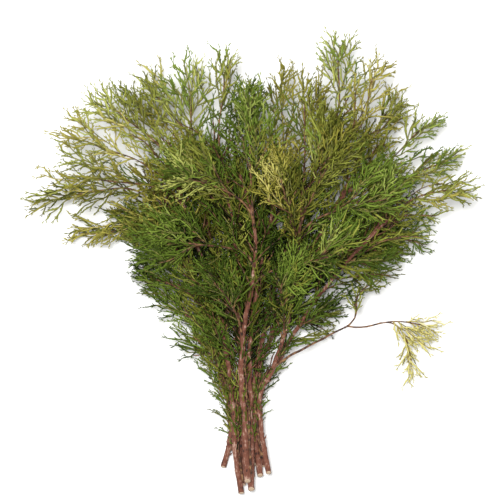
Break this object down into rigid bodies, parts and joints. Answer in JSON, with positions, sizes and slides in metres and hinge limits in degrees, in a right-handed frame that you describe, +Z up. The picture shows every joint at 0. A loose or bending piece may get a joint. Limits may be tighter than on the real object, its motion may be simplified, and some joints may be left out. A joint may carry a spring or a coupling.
{
  "type": "bunch of cut cypress stems",
  "caption": "Florist's bunch of cut cypress lying flat: bare reddish stems gathered at one end, scaly green to golden foliage fanned out at the other, and one long side shoot.",
  "frame": {"origin": "middle of the bunch's outline seen from above, on the surface it lies on", "axes": "+Y from the cut ends of the stems towards the foliage tips, +Z up from the surface, +X to the right seen from above with the tips up"},
  "size_m": [0.642, 0.6626, 0.1708],
  "materials": {
    "bark": "rough reddish-brown young bark, with pale flat-cut ends",
    "foliage_green": "matte scale-leaved sprays, deep to mid green",
    "foliage_olive": "matte scale-leaved sprays, olive to yellow-green",
    "foliage_gold": "matte scale-leaved sprays, golden, over bronze inner twigs",
    "foliage_pale": "matte scale-leaved sprays, pale straw yellow"
  },
  "bodies": {
    "root": {"stem_a": "bark", "stem_b": "bark", "stem_c": "bark", "stem_d": "bark", "stem_e": "bark", "stem_f": "bark", "stem_g": "bark", "stem_h": "bark", "stem_i": "bark", "stem_j": "bark", "bough_left_low": "bark", "bough_left_up": "bark", "bough_gap": "bark", "bough_crest": "bark", "bough_spire": "bark", "bough_right_up": "bark", "bough_right_mid": "bark", "bough_right_low": "bark", "shoot": "bark", "shoot_end": "bark", "shoot_side": "bark", "rim_far_left": "foliage_olive", "rim_left_low": "foliage_gold", "rim_left_up": "foliage_gold", "rim_left_crest": "foliage_olive", "rim_left_gap": "foliage_olive", "rim_upper_left": "foliage_olive", "rim_upper_mid": "foliage_green", "rim_crown_left": "foliage_green", "rim_gold_spike": "foliage_gold", "rim_crown_right": "foliage_olive", "rim_spire": "foliage_olive", "rim_spire_right": "foliage_gold", "rim_right_crest": "foliage_olive", "rim_right_up": "foliage_green", "rim_right_far": "foliage_green", "rim_right": "foliage_olive", "rim_right_low": "foliage_green", "rim_right_skirt": "foliage_green", "skirt_right": "foliage_green", "skirt_left": "foliage_green", "antler_left": "foliage_green", "tuft_left": "foliage_green", "sleeve_left": "foliage_green", "shoot_spray": "foliage_pale", "shoot_hanging": "foliage_pale", "shoot_sprigs": "foliage_olive", "front_far_left": "foliage_gold", "front_left": "foliage_green", "front_left_up": "foliage_olive", "front_crown": "foliage_green", "front_gold": "foliage_gold", "front_right_up": "foliage_olive", "front_right": "foliage_green", "front_right_low": "foliage_green", "front_low": "foliage_green", "front_low_right": "foliage_green", "bed_left": "foliage_green", "bed_centre": "foliage_green", "bed_right": "foliage_green"}
  },
  "joints": []
}
